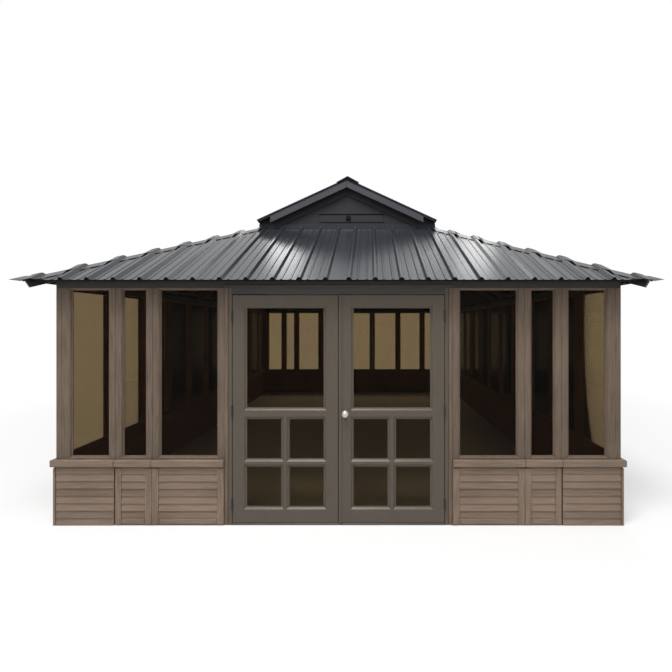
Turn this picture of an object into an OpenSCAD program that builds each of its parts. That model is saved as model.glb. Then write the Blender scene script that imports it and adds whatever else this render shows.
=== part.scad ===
// Glazed wooden garden pavilion: low clad walls, tall fixed windows, a pair of glazed doors,
// a hipped ribbed-steel roof and a small gabled roof vent along its ridge.
// Origin: middle of the plan, on the ground. The door wall faces -Y and the ridge runs along Y.

/* [Plan] */
// Width over the upper walls, from side to side
width = 5080; // [4600:10:5600]
// Length over the upper walls, from door wall to back wall
length = 7518; // [6400:10:8600]
// Thickness of the window frames and of the low walls' framing
wall_t = 50; // [40:1:70]

/* [Low walls] */
// Height of the underside of the sill
sill_z = 528; // [450:1:650]
// Thickness of the sill board
sill_t = 62; // [40:1:80]
// How far the sill stands out from the upper wall
sill_out = 37; // [25:1:60]
// How far the low wall's rails stand out from the upper wall
clad_out = 17; // [12:1:24]
// Depth of the fields that hold the siding boards, below the rails
field_deep = 10; // [6:1:12]
// Height of the bottom rail
bottom_rail = 63; // [40:1:90]

/* [Windows] */
// Height of the window heads, which is the underside of the top beam
head_z = 2131; // [2000:1:2300]
// Width of a window stile
stile = 60; // [45:1:75]
// Height of the bottom rail of a window frame
window_rail = 20; // [15:1:60]
// Height of its top rail, most of which the beam hides
window_head = 8; // [5:1:60]
// Thickness of the glass
glass_t = 6; // [4:1:10]
// Width of the pane beside the doors
pane_c = 526; // [400:1:600]
// Width of the narrow middle pane
pane_b = 215; // [150:1:300]
// Number of window bays along each side wall
side_bays = 11; // [8:1:14]

/* [Doors] */
// Half the width of the door frame
door_half = 1026; // [950:1:1100]
// Width of a door jamb with its casing
jamb = 70; // [50:1:90]
// Height of the top of the leaves
leaf_top = 2068; // [1950:1:2075]
// Thickness of a leaf
leaf_t = 45; // [38:1:50]
// Width of the stiles and of the top rail of a leaf
leaf_stile = 118; // [90:1:140]
// Middle height of the lock rail and of the knob
lock_z = 1003; // [950:1:1050]
// Radius of the hinge barrels
barrel_r = 7; // [6:0.5:9]

/* [Roof] */
// How far the eaves stand out from the walls
overhang = 160; // [100:5:250]
// Rise of the roof for each unit of run
pitch = 0.5; // [0.4:0.01:0.6]
// Level run of each roof slope
run = 1614; // [1400:1:1800]
// Height of the underside of the roof sheet at the eaves
eave_z = 2186; // [2180:1:2300]
// Height of the roof covering over its ribs
sheet_t = 26; // [15:1:30]
// Upright depth of the rafters
rafter_h = 76; // [60:1:100]
// Rafter spacing
rafter_step = 610; // [500:5:700]

/* [Roof vent] */
// Half the width of the vent's roof
vent_half = 1092; // [1090:1:1150]
// Height of the top of the vent's roof sheet at the ridge
vent_top = 3590; // [3560:1:3700]
// Rise of the vent's roof for each unit of run
vent_pitch = 0.46; // [0.4:0.01:0.48]
// How far the vent's roof stands out in front of its gables
vent_over = 100; // [60:1:150]

/* [Hidden] */
$fn = 48;
eps = 1;

half_w = width / 2;
half_l = length / 2;
eave_w = half_w + overhang;
eave_l = half_l + overhang;
curb_w = eave_w - run;
curb_l = eave_l - run;
sill_in = wall_t + 12;
sill_top = sill_z + sill_t;
beam_h = 74;
beam_t = 89;

// panes across half of the door wall, as [near edge, far edge] from the middle
pane_c_x = [door_half + stile, door_half + stile + pane_c];
pane_b_x = [pane_c_x[1] + 2 * stile, pane_c_x[1] + 2 * stile + pane_b];
corner_stile = 76;
pane_a_x = [pane_b_x[1] + 2 * stile, half_w - wall_t - corner_stile];
half_panes = [pane_c_x, pane_b_x, pane_a_x];
// siding fields below them: the outer one runs on to the corner trim and down to the ground
corner_trim = 20;
field_a_x = [pane_a_x[0] - 30, half_w + clad_out - corner_trim];
half_fields = [pane_c_x, pane_b_x];
// the back wall has three more bays where the door wall has its doors
back_bays = 3;
back_bay = 2 * door_half / back_bays;
back_mid = [for (i = [0:back_bays - 1])
    [-door_half + i * back_bay + stile, -door_half + (i + 1) * back_bay - stile]];
side_end = half_l - wall_t;
side_bay = 2 * side_end / side_bays;
side_panes = [for (i = [0:side_bays - 1])
    [-side_end + i * side_bay + stile, -side_end + (i + 1) * side_bay - stile]];

function mirrored(spans) = [for (s = spans) [-s[1], -s[0]]];

// the leaves, in the plan of the right-hand one
frame_out = 7;
frame_deep = 70;
clearance = 5;
leaf_gap = 2.5;
leaf_bevel = 2.5;
leaf_foot = 22;
leaf_y = -half_l - frame_out;
leaf_edge = door_half - jamb - clearance;
leaf_glass_x = [leaf_stile + 6, leaf_edge - leaf_stile + 3];
lock_rail = 84;
foot_rail = 134;
muntin = 54;
hinge_zs = [189, 1025, 1879];
hinge_h = 100;
hinge_x = leaf_edge + clearance / 2;
hinge_y = leaf_y - barrel_r - 1;
pin_r = 3;
pin_fit = 0.05;
plate_t = 2;
plate_deep = 32;
knob_x = 61;
knob_r = 29;

painted = [0.43, 0.37, 0.33];
door_paint = [0.33, 0.30, 0.27];
dark_metal = [0.17, 0.17, 0.18];
stained = [0.36, 0.18, 0.11];
tinted = [0.20, 0.16, 0.12, 0.6];
steel = [0.62, 0.60, 0.56];

// ---- placing ----

// the frame of one wall: u runs along it, -Y is outward, y = 0 is the upper wall's outer face
module on_wall(name) {
    turn = name == "front" ? 0 : name == "back" ? 180 : name == "left" ? -90 : 90;
    along = name == "front" || name == "back";
    rotate([0, 0, turn]) translate([0, along ? -half_l : -half_w, 0]) children();
}

module slab(u, y, z) {
    translate([u[0], y[0], z[0]]) cube([u[1] - u[0], y[1] - y[0], z[1] - z[0]]);
}

// a profile drawn in y and z, drawn out along x
module across(size) {
    rotate([90, 0, 90]) translate([0, 0, -size / 2]) linear_extrude(size) children();
}

// ---- low walls ----

module knee_wall(u, fields, ground_fields = []) {
    color(painted) difference() {
        slab(u, [-clad_out, wall_t], [0, sill_z]);
        for (f = fields) {
            slab(f, [-clad_out - eps, -clad_out + field_deep], [bottom_rail, sill_z + eps]);
        }
        for (f = ground_fields) {
            slab(f, [-clad_out - eps, -clad_out + field_deep], [-eps, sill_z + eps]);
        }
    }
}

module knee_wall_front() {
    on_wall("front") {
        knee_wall([door_half, half_w + clad_out], half_fields, [field_a_x]);
        knee_wall([-half_w - clad_out, -door_half], mirrored(half_fields), mirrored([field_a_x]));
    }
}

module knee_wall_back() {
    on_wall("back") knee_wall([-half_w - clad_out, half_w + clad_out],
        concat(half_fields, mirrored(half_fields), back_mid),
        concat([field_a_x], mirrored([field_a_x])));
}

module knee_wall_side(name) {
    on_wall(name) knee_wall([-side_end, side_end], side_panes);
}

module sill(u) {
    color(painted) slab(u, [-sill_out, sill_in], [sill_z, sill_top]);
}

module sill_front() {
    on_wall("front") {
        sill([door_half, half_w + sill_out]);
        sill([-half_w - sill_out, -door_half]);
    }
}

module sill_back() {
    on_wall("back") sill([-half_w - sill_out, half_w + sill_out]);
}

module sill_side(name) {
    on_wall(name) sill([-half_l + sill_in, half_l - sill_in]);
}

// ---- windows, posts and top beams ----

module window_frame(u, panes) {
    color(painted) difference() {
        slab(u, [0, wall_t], [sill_top, head_z]);
        for (p = panes) {
            slab(p, [-eps, wall_t + eps], [sill_top + window_rail, head_z - window_head]);
        }
    }
}

// the panes stand in the middle of the frame's depth and meet it all round
module panes(spans) {
    glass_y = (wall_t - glass_t) / 2;
    color(tinted) for (p = spans) {
        slab(p, [glass_y, glass_y + glass_t], [sill_top + window_rail, head_z - window_head]);
    }
}

module window_frame_front() {
    on_wall("front") {
        window_frame([door_half, half_w - wall_t], half_panes);
        window_frame([-half_w + wall_t, -door_half], mirrored(half_panes));
    }
}

module window_frame_back() {
    on_wall("back") window_frame([-half_w + wall_t, half_w - wall_t],
        concat(half_panes, mirrored(half_panes), back_mid));
}

module window_frame_side(name) {
    on_wall(name) window_frame([-side_end, side_end], side_panes);
}

module glass_front() {
    on_wall("front") panes(concat(half_panes, mirrored(half_panes)));
}

module glass_back() {
    on_wall("back") panes(concat(half_panes, mirrored(half_panes), back_mid));
}

module glass_side(name) {
    on_wall(name) panes(side_panes);
}

module corner_post(x, y) {
    color(painted) translate([x < 0 ? -half_w : half_w - wall_t,
        y < 0 ? -half_l : half_l - wall_t, sill_top]) cube([wall_t, wall_t, head_z - sill_top]);
}

module top_beam(name) {
    reach = name == "front" || name == "back" ? half_w : half_l - beam_t;
    color(dark_metal) on_wall(name) slab([-reach, reach], [0, beam_t], [head_z, head_z + beam_h]);
}

module beam_space() {
    for (name = ["front", "back"]) {
        on_wall(name) slab([-half_w, half_w], [0, beam_t], [head_z, head_z + beam_h]);
    }
    for (name = ["left", "right"]) {
        on_wall(name) slab([-half_l, half_l], [0, beam_t], [head_z, head_z + beam_h]);
    }
}

// ---- roof ----

// One slope of a hipped layer. own: distance of its eave from the middle; other: that of the
// neighbouring slopes; lift: height of its underside above the sheet's; past: how far it
// passes the eaves; trim: what is taken off along each hip.
module slope(own, other, lift, thick, past, trim) {
    low = own + past;
    high = own - run;
    function under(d) = eave_z + lift + (own - d) * pitch;
    intersection() {
        translate([0, 0, eave_z - 500]) linear_extrude(3000) polygon([
            [-(other + past - trim), -low], [other + past - trim, -low],
            [other - run - trim, -high], [-(other - run - trim), -high]]);
        across(2 * (other + past)) polygon([
            [-low, under(low)], [-high, under(high)],
            [-high, under(high) + thick], [-low, under(low) + thick]]);
    }
}

module roof_slope(name) {
    along = name == "front" || name == "back";
    turn = name == "front" ? 0 : name == "back" ? 180 : name == "left" ? -90 : 90;
    color(dark_metal) rotate([0, 0, turn])
        slope(along ? eave_l : eave_w, along ? eave_w : eave_l, 0, sheet_t, 0, 0);
}

module curb_space() {
    translate([-curb_w, -curb_l, 0]) cube([2 * curb_w, 2 * curb_l, 5000]);
}

// from an eave corner inwards along the hip, in plan
module on_hips() {
    for (sx = [-1, 1], sy = [-1, 1]) {
        translate([sx * eave_w, sy * eave_l, 0]) rotate([0, 0, atan2(-sy, -sx)]) children();
    }
}

hip_pitch = pitch / sqrt(2);
hip_w = 64;
hip_drop = hip_w / 2 * hip_pitch;
module hip_rafters() {
    reach = run * sqrt(2) + hip_w;
    tail = 10;
    heel = 40;
    function top(s) = eave_z - hip_drop - 0.5 + s * hip_pitch;
    function bottom(s) = eave_z - rafter_h + s * hip_pitch;
    color(stained) difference() {
        on_hips() rotate([90, 0, 0]) linear_extrude(hip_w, center = true) polygon([
            [tail, top(tail)], [reach, top(reach)], [reach, bottom(reach)], [heel, bottom(heel)]]);
        curb_space();
        beam_space();
    }
}

module rafter_row(own, other, count) {
    trim = hip_w / sqrt(2) + 0.7;
    intersection() {
        slope(own, other, -rafter_h, rafter_h, -overhang - 15, trim);
        for (i = [-count:count]) {
            translate([i * rafter_step - 19, -own, 0]) cube([38, own, 5000]);
        }
    }
}

module rafters() {
    color(stained) difference() {
        for (turn = [0, 180]) {
            rotate([0, 0, turn]) rafter_row(eave_l, eave_w, 3);
            rotate([0, 0, turn + 90]) rafter_row(eave_w, eave_l, 5);
        }
        beam_space();
    }
}

cap_past = 72;
cap_t = 12;
module hip_caps() {
    cap_w = 180;
    start = -cap_past * sqrt(2);
    color(dark_metal) difference() {
        intersection() {
            on_hips() translate([start, -cap_w / 2, 0])
                cube([run * sqrt(2) - start + cap_w, cap_w, 5000]);
            for (turn = [0, 180]) {
                rotate([0, 0, turn]) slope(eave_l, eave_w, sheet_t, cap_t, cap_past, 0);
                rotate([0, 0, turn + 90]) slope(eave_w, eave_l, sheet_t, cap_t, cap_past, 0);
            }
        }
        curb_space();
    }
}

// ---- roof vent ----

vent_sheet = 35;
vent_wall = 38;
vent_foot = eave_z - rafter_h + run * pitch;
vent_end = curb_l + vent_over;
function vent_under(x) = vent_top - vent_sheet - abs(x) * vent_pitch;

// a profile drawn in x and z, drawn out along y from y0 to y1
module along_ridge(y0, y1) {
    translate([0, y1, 0]) rotate([90, 0, 0]) linear_extrude(y1 - y0) children();
}

module vent_gable_outline() {
    polygon([[-curb_w, vent_foot], [curb_w, vent_foot], [curb_w, vent_under(curb_w)],
        [0, vent_under(0)], [-curb_w, vent_under(curb_w)]]);
}

module vent_gables() {
    color(dark_metal) {
        along_ridge(-curb_l, -curb_l + vent_wall) vent_gable_outline();
        along_ridge(curb_l - vent_wall, curb_l) vent_gable_outline();
    }
}

module vent_sides() {
    inner = curb_w - vent_wall;
    color(dark_metal) for (side = [0, 1]) {
        mirror([side, 0, 0]) along_ridge(-curb_l + vent_wall, curb_l - vent_wall) polygon([
            [inner, vent_foot], [curb_w, vent_foot],
            [curb_w, vent_under(curb_w)], [inner, vent_under(inner)]]);
    }
}

module vent_roof_half() {
    square_cut = vent_sheet * vent_pitch;
    color(dark_metal) along_ridge(-vent_end, vent_end) polygon([
        [0, vent_under(0)], [0, vent_top], [vent_half, vent_top - vent_half * vent_pitch],
        [vent_half - square_cut, vent_under(vent_half - square_cut)]]);
}

module vent_roof_left() {
    mirror([1, 0, 0]) vent_roof_half();
}

module vent_roof_right() {
    vent_roof_half();
}

module vent_ridge_cap() {
    wing = 135;
    cap = 23;
    color(dark_metal) along_ridge(-vent_end - 8, vent_end + 8) polygon([
        [0, vent_top], [wing, vent_top - wing * vent_pitch],
        [wing, vent_top - wing * vent_pitch + cap / 2], [0, vent_top + cap],
        [-wing, vent_top - wing * vent_pitch + cap / 2], [-wing, vent_top - wing * vent_pitch]]);
}

module rake_board_outline() {
    rake_end = 925;
    rake_h = 78;
    polygon([[0, vent_under(0)], [rake_end, vent_under(rake_end)],
        [rake_end, vent_under(rake_end) - rake_h], [0, vent_under(0) - rake_h],
        [-rake_end, vent_under(rake_end) - rake_h], [-rake_end, vent_under(rake_end)]]);
}

module rake_boards() {
    rake_t = 25;
    color(dark_metal) {
        along_ridge(-vent_end, -vent_end + rake_t) rake_board_outline();
        along_ridge(vent_end - rake_t, vent_end) rake_board_outline();
    }
}

// ---- doors ----

module door_frame() {
    head_under = leaf_top + 7;
    head_casing = 29;
    opening = door_half - jamb;
    back = leaf_y + frame_deep;
    color(door_paint) {
        slab([-door_half, -opening], [leaf_y, back], [0, head_z]);
        slab([opening, door_half], [leaf_y, back], [0, head_z]);
        slab([-opening, opening], [leaf_y, back], [head_under, head_z]);
        slab([-door_half, door_half], [leaf_y, -half_l], [head_z, head_z + head_casing]);
        slab([-opening, opening], [leaf_y, back], [0, leaf_foot - 6]);
    }
}

lower_mid = (leaf_foot + foot_rail + lock_z - lock_rail / 2) / 2;
leaf_glass_mid = (leaf_glass_x[0] + leaf_glass_x[1]) / 2;
leaf_panes = concat(
    [[leaf_glass_x, [lock_z + lock_rail / 2, leaf_top - leaf_stile + 10]]],
    [for (x = [[leaf_glass_x[0], leaf_glass_mid - muntin / 2],
            [leaf_glass_mid + muntin / 2, leaf_glass_x[1]]],
        z = [[leaf_foot + foot_rail, lower_mid - muntin / 2],
            [lower_mid + muntin / 2, lock_z - lock_rail / 2]]) [x, z]]);

// the right-hand leaf: its meeting edge is bevelled so that it swings past the other leaf
module leaf_body() {
    difference() {
        translate([0, 0, leaf_foot]) linear_extrude(leaf_top - leaf_foot) polygon([
            [leaf_gap, leaf_y], [leaf_edge, leaf_y],
            [leaf_edge, leaf_y + leaf_t], [leaf_gap + leaf_bevel, leaf_y + leaf_t]]);
        for (p = leaf_panes) {
            slab(p[0], [leaf_y - eps, leaf_y + leaf_t + eps], p[1]);
        }
    }
}

module leaf_glass() {
    y = leaf_y + (leaf_t - glass_t) / 2;
    color(tinted) for (p = leaf_panes) {
        slab(p[0], [y, y + glass_t], p[1]);
    }
}

module knob_bore() {
    translate([knob_x, leaf_y - eps, lock_z]) rotate([-90, 0, 0])
        cylinder(h = leaf_t + 2 * eps, r = 11);
}

module door_leaf_left() {
    color(door_paint) mirror([1, 0, 0]) leaf_body();
}

// this leaf takes the knob and carries the cover strip of the meeting stiles
module door_leaf_right() {
    color(door_paint) {
        difference() {
            leaf_body();
            knob_bore();
        }
        slab([leaf_gap + 0.5, 30], [leaf_y - 8, leaf_y], [leaf_foot, leaf_top - 2]);
    }
}

module door_glass_left() {
    mirror([1, 0, 0]) leaf_glass();
}

module door_glass_right() {
    leaf_glass();
}

// the moving half of the right-hand hinges: outer knuckles and the plate on the leaf's edge
module hinge_set() {
    knuckle = hinge_h / 3;
    color(steel) for (z = hinge_zs) {
        for (foot = [z - hinge_h / 2, z + hinge_h / 2 - knuckle]) {
            difference() {
                union() {
                    translate([hinge_x, hinge_y, foot]) cylinder(h = knuckle - 0.3, r = barrel_r);
                    slab([leaf_edge, leaf_edge + plate_t], [hinge_y, leaf_y + plate_deep],
                        [foot, foot + knuckle - 0.3]);
                }
                translate([hinge_x, hinge_y, foot - eps]) cylinder(h = knuckle + 2, r = pin_r + pin_fit);
            }
        }
    }
}

// the fixed half: middle knuckle, the pin through all three and the plate on the jamb
module hinge_fixed_set() {
    knuckle = hinge_h / 3;
    color(steel) for (z = hinge_zs) {
        translate([hinge_x, hinge_y, z - hinge_h / 2 - 3]) cylinder(h = hinge_h + 6, r = pin_r);
        translate([hinge_x, hinge_y, z - knuckle / 2 + 0.3])
            cylinder(h = knuckle - 0.9, r = barrel_r);
        slab([leaf_edge + clearance - plate_t, leaf_edge + clearance],
            [hinge_y, leaf_y + plate_deep], [z - knuckle / 2 + 0.3, z + knuckle / 2 - 0.6]);
    }
}

module hinges_left() {
    mirror([1, 0, 0]) hinge_set();
}

module hinges_right() {
    hinge_set();
}

module hinge_jamb_leaves() {
    hinge_fixed_set();
    mirror([1, 0, 0]) hinge_fixed_set();
}

// two turned knobs on one spindle, through the meeting stile of the right-hand leaf
module door_knob() {
    neck = 26;
    ball = 34;
    color(steel) translate([knob_x, leaf_y + leaf_t / 2, lock_z]) rotate([90, 0, 0]) {
        cylinder(h = leaf_t + 2 * neck, r = 8, center = true);
        for (side = [0, 1]) {
            mirror([0, 0, side]) translate([0, 0, leaf_t / 2 + neck]) rotate_extrude() polygon([
                [0, 0], [14, 0], [knob_r - 3, 8], [knob_r, 16], [knob_r - 2, 26],
                [knob_r - 11, ball], [0, ball]]);
        }
    }
}

knee_wall_front();
knee_wall_back();
knee_wall_side("left");  // knee_wall_left
knee_wall_side("right");  // knee_wall_right
sill_front();
sill_back();
sill_side("left");  // sill_left
sill_side("right");  // sill_right
window_frame_front();
window_frame_back();
window_frame_side("left");  // window_frame_left
window_frame_side("right");  // window_frame_right
glass_front();
glass_back();
glass_side("left");  // glass_left
glass_side("right");  // glass_right
corner_post(-1, -1);  // corner_post_front_left
corner_post(1, -1);  // corner_post_front_right
corner_post(-1, 1);  // corner_post_back_left
corner_post(1, 1);  // corner_post_back_right
top_beam("front");  // top_beam_front
top_beam("back");  // top_beam_back
top_beam("left");  // top_beam_left
top_beam("right");  // top_beam_right
roof_slope("front");  // roof_front
roof_slope("back");  // roof_back
roof_slope("left");  // roof_left
roof_slope("right");  // roof_right
hip_rafters();
rafters();
hip_caps();
vent_gables();
vent_sides();
vent_roof_left();
vent_roof_right();
vent_ridge_cap();
rake_boards();
door_frame();
hinge_jamb_leaves();
door_leaf_left();
door_glass_left();
hinges_left();
door_leaf_right();
door_glass_right();
hinges_right();
door_knob();
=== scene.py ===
import math

import bmesh
import bpy
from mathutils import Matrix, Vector


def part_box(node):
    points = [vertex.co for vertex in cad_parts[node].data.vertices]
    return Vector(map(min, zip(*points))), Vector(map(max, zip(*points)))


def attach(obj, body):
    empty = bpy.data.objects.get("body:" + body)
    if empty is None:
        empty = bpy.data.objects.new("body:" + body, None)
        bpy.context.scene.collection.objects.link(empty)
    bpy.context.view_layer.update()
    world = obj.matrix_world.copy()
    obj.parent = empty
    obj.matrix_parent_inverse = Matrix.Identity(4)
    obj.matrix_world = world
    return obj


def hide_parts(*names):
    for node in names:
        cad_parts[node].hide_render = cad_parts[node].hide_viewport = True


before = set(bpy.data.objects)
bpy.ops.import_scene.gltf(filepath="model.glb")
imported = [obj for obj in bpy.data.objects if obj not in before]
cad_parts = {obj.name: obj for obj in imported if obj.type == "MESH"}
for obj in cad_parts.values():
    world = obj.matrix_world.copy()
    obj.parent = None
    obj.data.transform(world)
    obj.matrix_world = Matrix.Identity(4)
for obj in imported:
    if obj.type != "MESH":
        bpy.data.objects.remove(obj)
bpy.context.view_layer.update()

# ---- Camera ----
# It stands in front of the doors at eye height, a little to the right of the middle, and looks
# straight at the door wall.
post_low, post_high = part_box("corner_post_back_right")
half_w, half_l = post_high.x, post_high.y
eye_distance, eye_height, eye_right = 3.812, 1.798, 0.283
bpy.ops.object.camera_add(location=(eye_right, -half_l - eye_distance, eye_height),
                          rotation=(math.pi / 2, 0, 0))
camera = bpy.context.object
camera.data.lens = 22.71
camera.data.shift_x = -0.0506
camera.data.shift_y = -0.0164
bpy.context.scene.camera = camera

# ---- Low walls ----
# Panels of softwood framing, clad with lapped sawn boards, painted taupe outside and stained
# red-brown inside. Each carries one window. The boards of the corner panels run down to the
# ground, and an open joint with a dark seal in it parts them from the next panels.
wall_t = post_high.x - post_low.x
sill_top, head_z = post_low.z, post_high.z
sill_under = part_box("sill_left")[0].z
clad_out = -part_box("knee_wall_left")[0].x - half_w
door_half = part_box("door_frame")[1].x
field_deep = 0.014
foot_gap = 0.010
rail_top = 0.063
shadow_gap = 0.014
boards_top = sill_under - shadow_gap
course = 0.0664
trim_w = 0.020
seal_half = 0.011
stile = 0.060
corner_stile = 0.076
seam = 0.0012
open_joint = 0.008
wide_light, narrow_light = 0.526, 0.215
back_bays, side_bays = 3, 11
joint_bc = door_half + 2 * stile + wide_light
joint_ab = joint_bc + 2 * stile + narrow_light
end_w, end_l = half_w - wall_t, half_l - wall_t

# each wall: how far it is turned, how far out it stands, and its panels as (start, end,
# left stile, right stile) along it
right_half = [(door_half, joint_bc, stile, stile), (joint_bc, joint_ab, stile, stile),
              (joint_ab, end_w, stile, corner_stile)]
left_half = [(-end, -start, right, left) for start, end, left, right in reversed(right_half)]
back_bay = 2 * door_half / back_bays
back_middle = [(-door_half + i * back_bay, -door_half + (i + 1) * back_bay, stile, stile)
               for i in range(back_bays)]
side_bay = 2 * end_l / side_bays
side_panels = [(-end_l + i * side_bay, -end_l + (i + 1) * side_bay, stile, stile)
               for i in range(side_bays)]
walls = {
    "front": (0.0, half_l, left_half + right_half),
    "back": (math.pi, half_l, left_half + back_middle + right_half),
    "left": (-math.pi / 2, half_w, side_panels),
    "right": (math.pi / 2, half_w, side_panels),
}


def pick(piece):
    """Select one piece alone, ready to be worked on."""
    bpy.ops.object.select_all(action="DESELECT")
    piece.select_set(True)
    bpy.context.view_layer.objects.active = piece


def settle():
    """Bring the picked piece's place, turn and size into its mesh."""
    bpy.ops.object.transform_apply(location=True, rotation=True, scale=True)


def start_piece(name):
    """Name the primitive just added and settle it."""
    piece = bpy.context.object
    piece.name = piece.data.name = name
    settle()
    return piece


def board(name, low, high, arris=0.002):
    """A planed board between two corners with its arrises taken off."""
    bpy.ops.object.select_all(action="DESELECT")
    middle = [(a + b) / 2 for a, b in zip(low, high)]
    bpy.ops.mesh.primitive_cube_add(size=1, location=middle)
    bpy.context.object.scale = [b - a for a, b in zip(low, high)]
    piece = start_piece(name)
    bpy.ops.object.mode_set(mode="EDIT")
    bpy.ops.mesh.select_all(action="SELECT")
    bpy.ops.mesh.bevel(offset=arris, segments=1, affect="EDGES")
    bpy.ops.object.mode_set(mode="OBJECT")
    return piece


def join(name, pieces):
    """Fix several pieces together as one."""
    bpy.ops.object.select_all(action="DESELECT")
    for piece in pieces:
        piece.select_set(True)
    bpy.context.view_layer.objects.active = pieces[0]
    if len(pieces) > 1:
        bpy.ops.object.join()
    pieces[0].name = pieces[0].data.name = name
    return pieces[0]


def apply_modifiers(piece):
    pick(piece)
    for modifier in list(piece.modifiers):
        bpy.ops.object.modifier_apply(modifier=modifier.name)


def repeat(piece, count, step):
    """Set a piece out in a row of equal steps (x, y, z)."""
    row = piece.modifiers.new("row", "ARRAY")
    row.count = count
    row.use_relative_offset = False
    row.use_constant_offset = True
    row.constant_offset_displace = step
    return row


def turn_round(piece, turn):
    """Turn a piece about the upright axis and settle it."""
    pick(piece)
    piece.rotation_euler = (0, 0, turn)
    settle()


def stand_on(wall, piece):
    """Turn a piece made for the door wall's face at y = 0 round to its own wall."""
    turn, out, _ = walls[wall]
    piece.location = (out * math.sin(turn), -out * math.cos(turn), 0)
    turn_round(piece, turn)
    return piece


def lap_siding(name, start, end, foot, top):
    """Lapped boards from foot to top: each is thicker at its lower edge."""
    lap, taper, recess = 0.006, 0.010, 0.002
    face, back = -clad_out + recess, -clad_out + field_deep
    first = board(name, (start, face, foot), (end, back, foot + course + lap), 0.0015)
    bpy.ops.object.mode_set(mode="EDIT")
    shape = bmesh.from_edit_mesh(first.data)
    for v in shape.verts:
        v.select_set(v.co.y < (face + back) / 2 and v.co.z > foot + course / 2)
    shape.select_flush(True)
    bpy.ops.transform.translate(value=(0, taper, 0))
    bpy.ops.object.mode_set(mode="OBJECT")
    repeat(first, math.ceil((top - foot) / course), (0, 0, course))
    apply_modifiers(first)
    bpy.ops.object.mode_set(mode="EDIT")
    bpy.ops.mesh.select_all(action="SELECT")
    bpy.ops.mesh.bisect(plane_co=(0, 0, top), plane_no=(0, 0, 1), clear_outer=True, use_fill=True)
    bpy.ops.object.mode_set(mode="OBJECT")
    return first


def feed(tree, sockets, values):
    """Link each socket to an output, or set it to a plain value."""
    for socket, value in zip(sockets, values):
        if isinstance(value, bpy.types.NodeSocket):
            tree.links.new(value, socket)
        else:
            socket.default_value = value


def wire(tree, made, **values):
    """Set a node's properties and, where there is no such one, its inputs."""
    for key, value in values.items():
        if hasattr(made, key):
            setattr(made, key, value)
        else:
            feed(tree, [made.inputs[key.replace("_", " ")]], [value])
    return made


def node(tree, kind, **values):
    return wire(tree, tree.nodes.new(kind), **values)


def maths(tree, operation, a, b=0.0):
    made = node(tree, "ShaderNodeMath", operation=operation)
    feed(tree, made.inputs, (a, b))
    return made.outputs[0]


def mingle(tree, a, share_a, b, share_b):
    return maths(tree, "ADD", maths(tree, "MULTIPLY", a, share_a), maths(tree, "MULTIPLY", b, share_b))


def blend_colours(tree, share, a, b):
    made = node(tree, "ShaderNodeMix", data_type="RGBA")
    feed(tree, (made.inputs[0], made.inputs[6], made.inputs[7]), (share, a, b))
    return made.outputs[2]


def between(tree, value, low, high, start=0.0, end=1.0):
    """Make a value that runs from start to end run from low to high."""
    made = tree.nodes.new("ShaderNodeMapRange")
    feed(tree, made.inputs, (value, start, end, low, high))
    return made.outputs[0]


def streaks(tree, place, stretch, detail=6.0):
    """Noise drawn out along the grain: stretch holds its density along X, Y and Z."""
    grain = node(tree, "ShaderNodeMapping", Vector=place, Scale=stretch).outputs[0]
    return node(tree, "ShaderNodeTexNoise", Vector=grain, Scale=1.0, Detail=detail).outputs["Fac"]


def relief(tree, height, strength, distance):
    bump = node(tree, "ShaderNodeBump", Strength=strength, Distance=distance, Height=height)
    return bump.outputs[0]


def new_material(name):
    """A material with its node tree, its shader and the place on the object to paint by."""
    material = bpy.data.materials.new(name)
    material.use_nodes = True
    tree = material.node_tree
    place = node(tree, "ShaderNodeTexCoord").outputs["Object"]
    return material, tree, tree.nodes["Principled BSDF"], place


def past_walls(tree, place, depth=0.0):
    """How far a point lies outside a line that runs round the walls, depth in from their face."""
    split = node(tree, "ShaderNodeSeparateXYZ", Vector=place)
    past_x = maths(tree, "SUBTRACT", maths(tree, "ABSOLUTE", split.outputs[0]), half_w - depth)
    past_y = maths(tree, "SUBTRACT", maths(tree, "ABSOLUTE", split.outputs[1]), half_l - depth)
    return maths(tree, "MAXIMUM", past_x, past_y)


def wall_wood(name, light, dark, grain, rows=0.0):
    """Sawn softwood: paint outside, stain on the room side, grain along the given way. With
    rows, each board of that height has its own tone."""
    material, tree, surface, place = new_material(name)
    fine = streaks(tree, place, grain)
    broad = streaks(tree, place, (1.7, 1.7, 2.3), 3.0)
    shade = mingle(tree, fine, 0.65, broad, 0.35)
    if rows:
        height = node(tree, "ShaderNodeSeparateXYZ", Vector=place).outputs[2]
        row = maths(tree, "FLOOR", maths(tree, "DIVIDE", height, rows))
        each = node(tree, "ShaderNodeTexWhiteNoise", noise_dimensions="1D", W=row).outputs[0]
        own_tone = maths(tree, "MULTIPLY", maths(tree, "SUBTRACT", each, 0.5), 0.16)
        shade = maths(tree, "ADD", shade, own_tone)
    spread = between(tree, shade, 0.0, 1.0, 0.32, 0.68)
    paint = blend_colours(tree, spread, dark, light)
    stain = blend_colours(tree, spread, (0.080, 0.024, 0.011, 1), (0.240, 0.080, 0.038, 1))
    outside = maths(tree, "GREATER_THAN", past_walls(tree, place, 0.027), 0.0)
    wire(tree, surface, Base_Color=blend_colours(tree, outside, stain, paint),
         Roughness=between(tree, fine, 0.68, 0.5), Specular_IOR_Level=0.25,
         Normal=relief(tree, fine, 0.35, 0.0012))
    return material


def dull_black(name, dark, light, size, detail, roughness, specular):
    """Rubber, foam and painted shade: near-black, in soft patches of about 1 / size."""
    material, tree, surface, place = new_material(name)
    tone = streaks(tree, place, (size, size, size), detail)
    wire(tree, surface, Base_Color=blend_colours(tree, tone, dark, light), Roughness=roughness,
         Specular_IOR_Level=specular)
    return material


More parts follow.
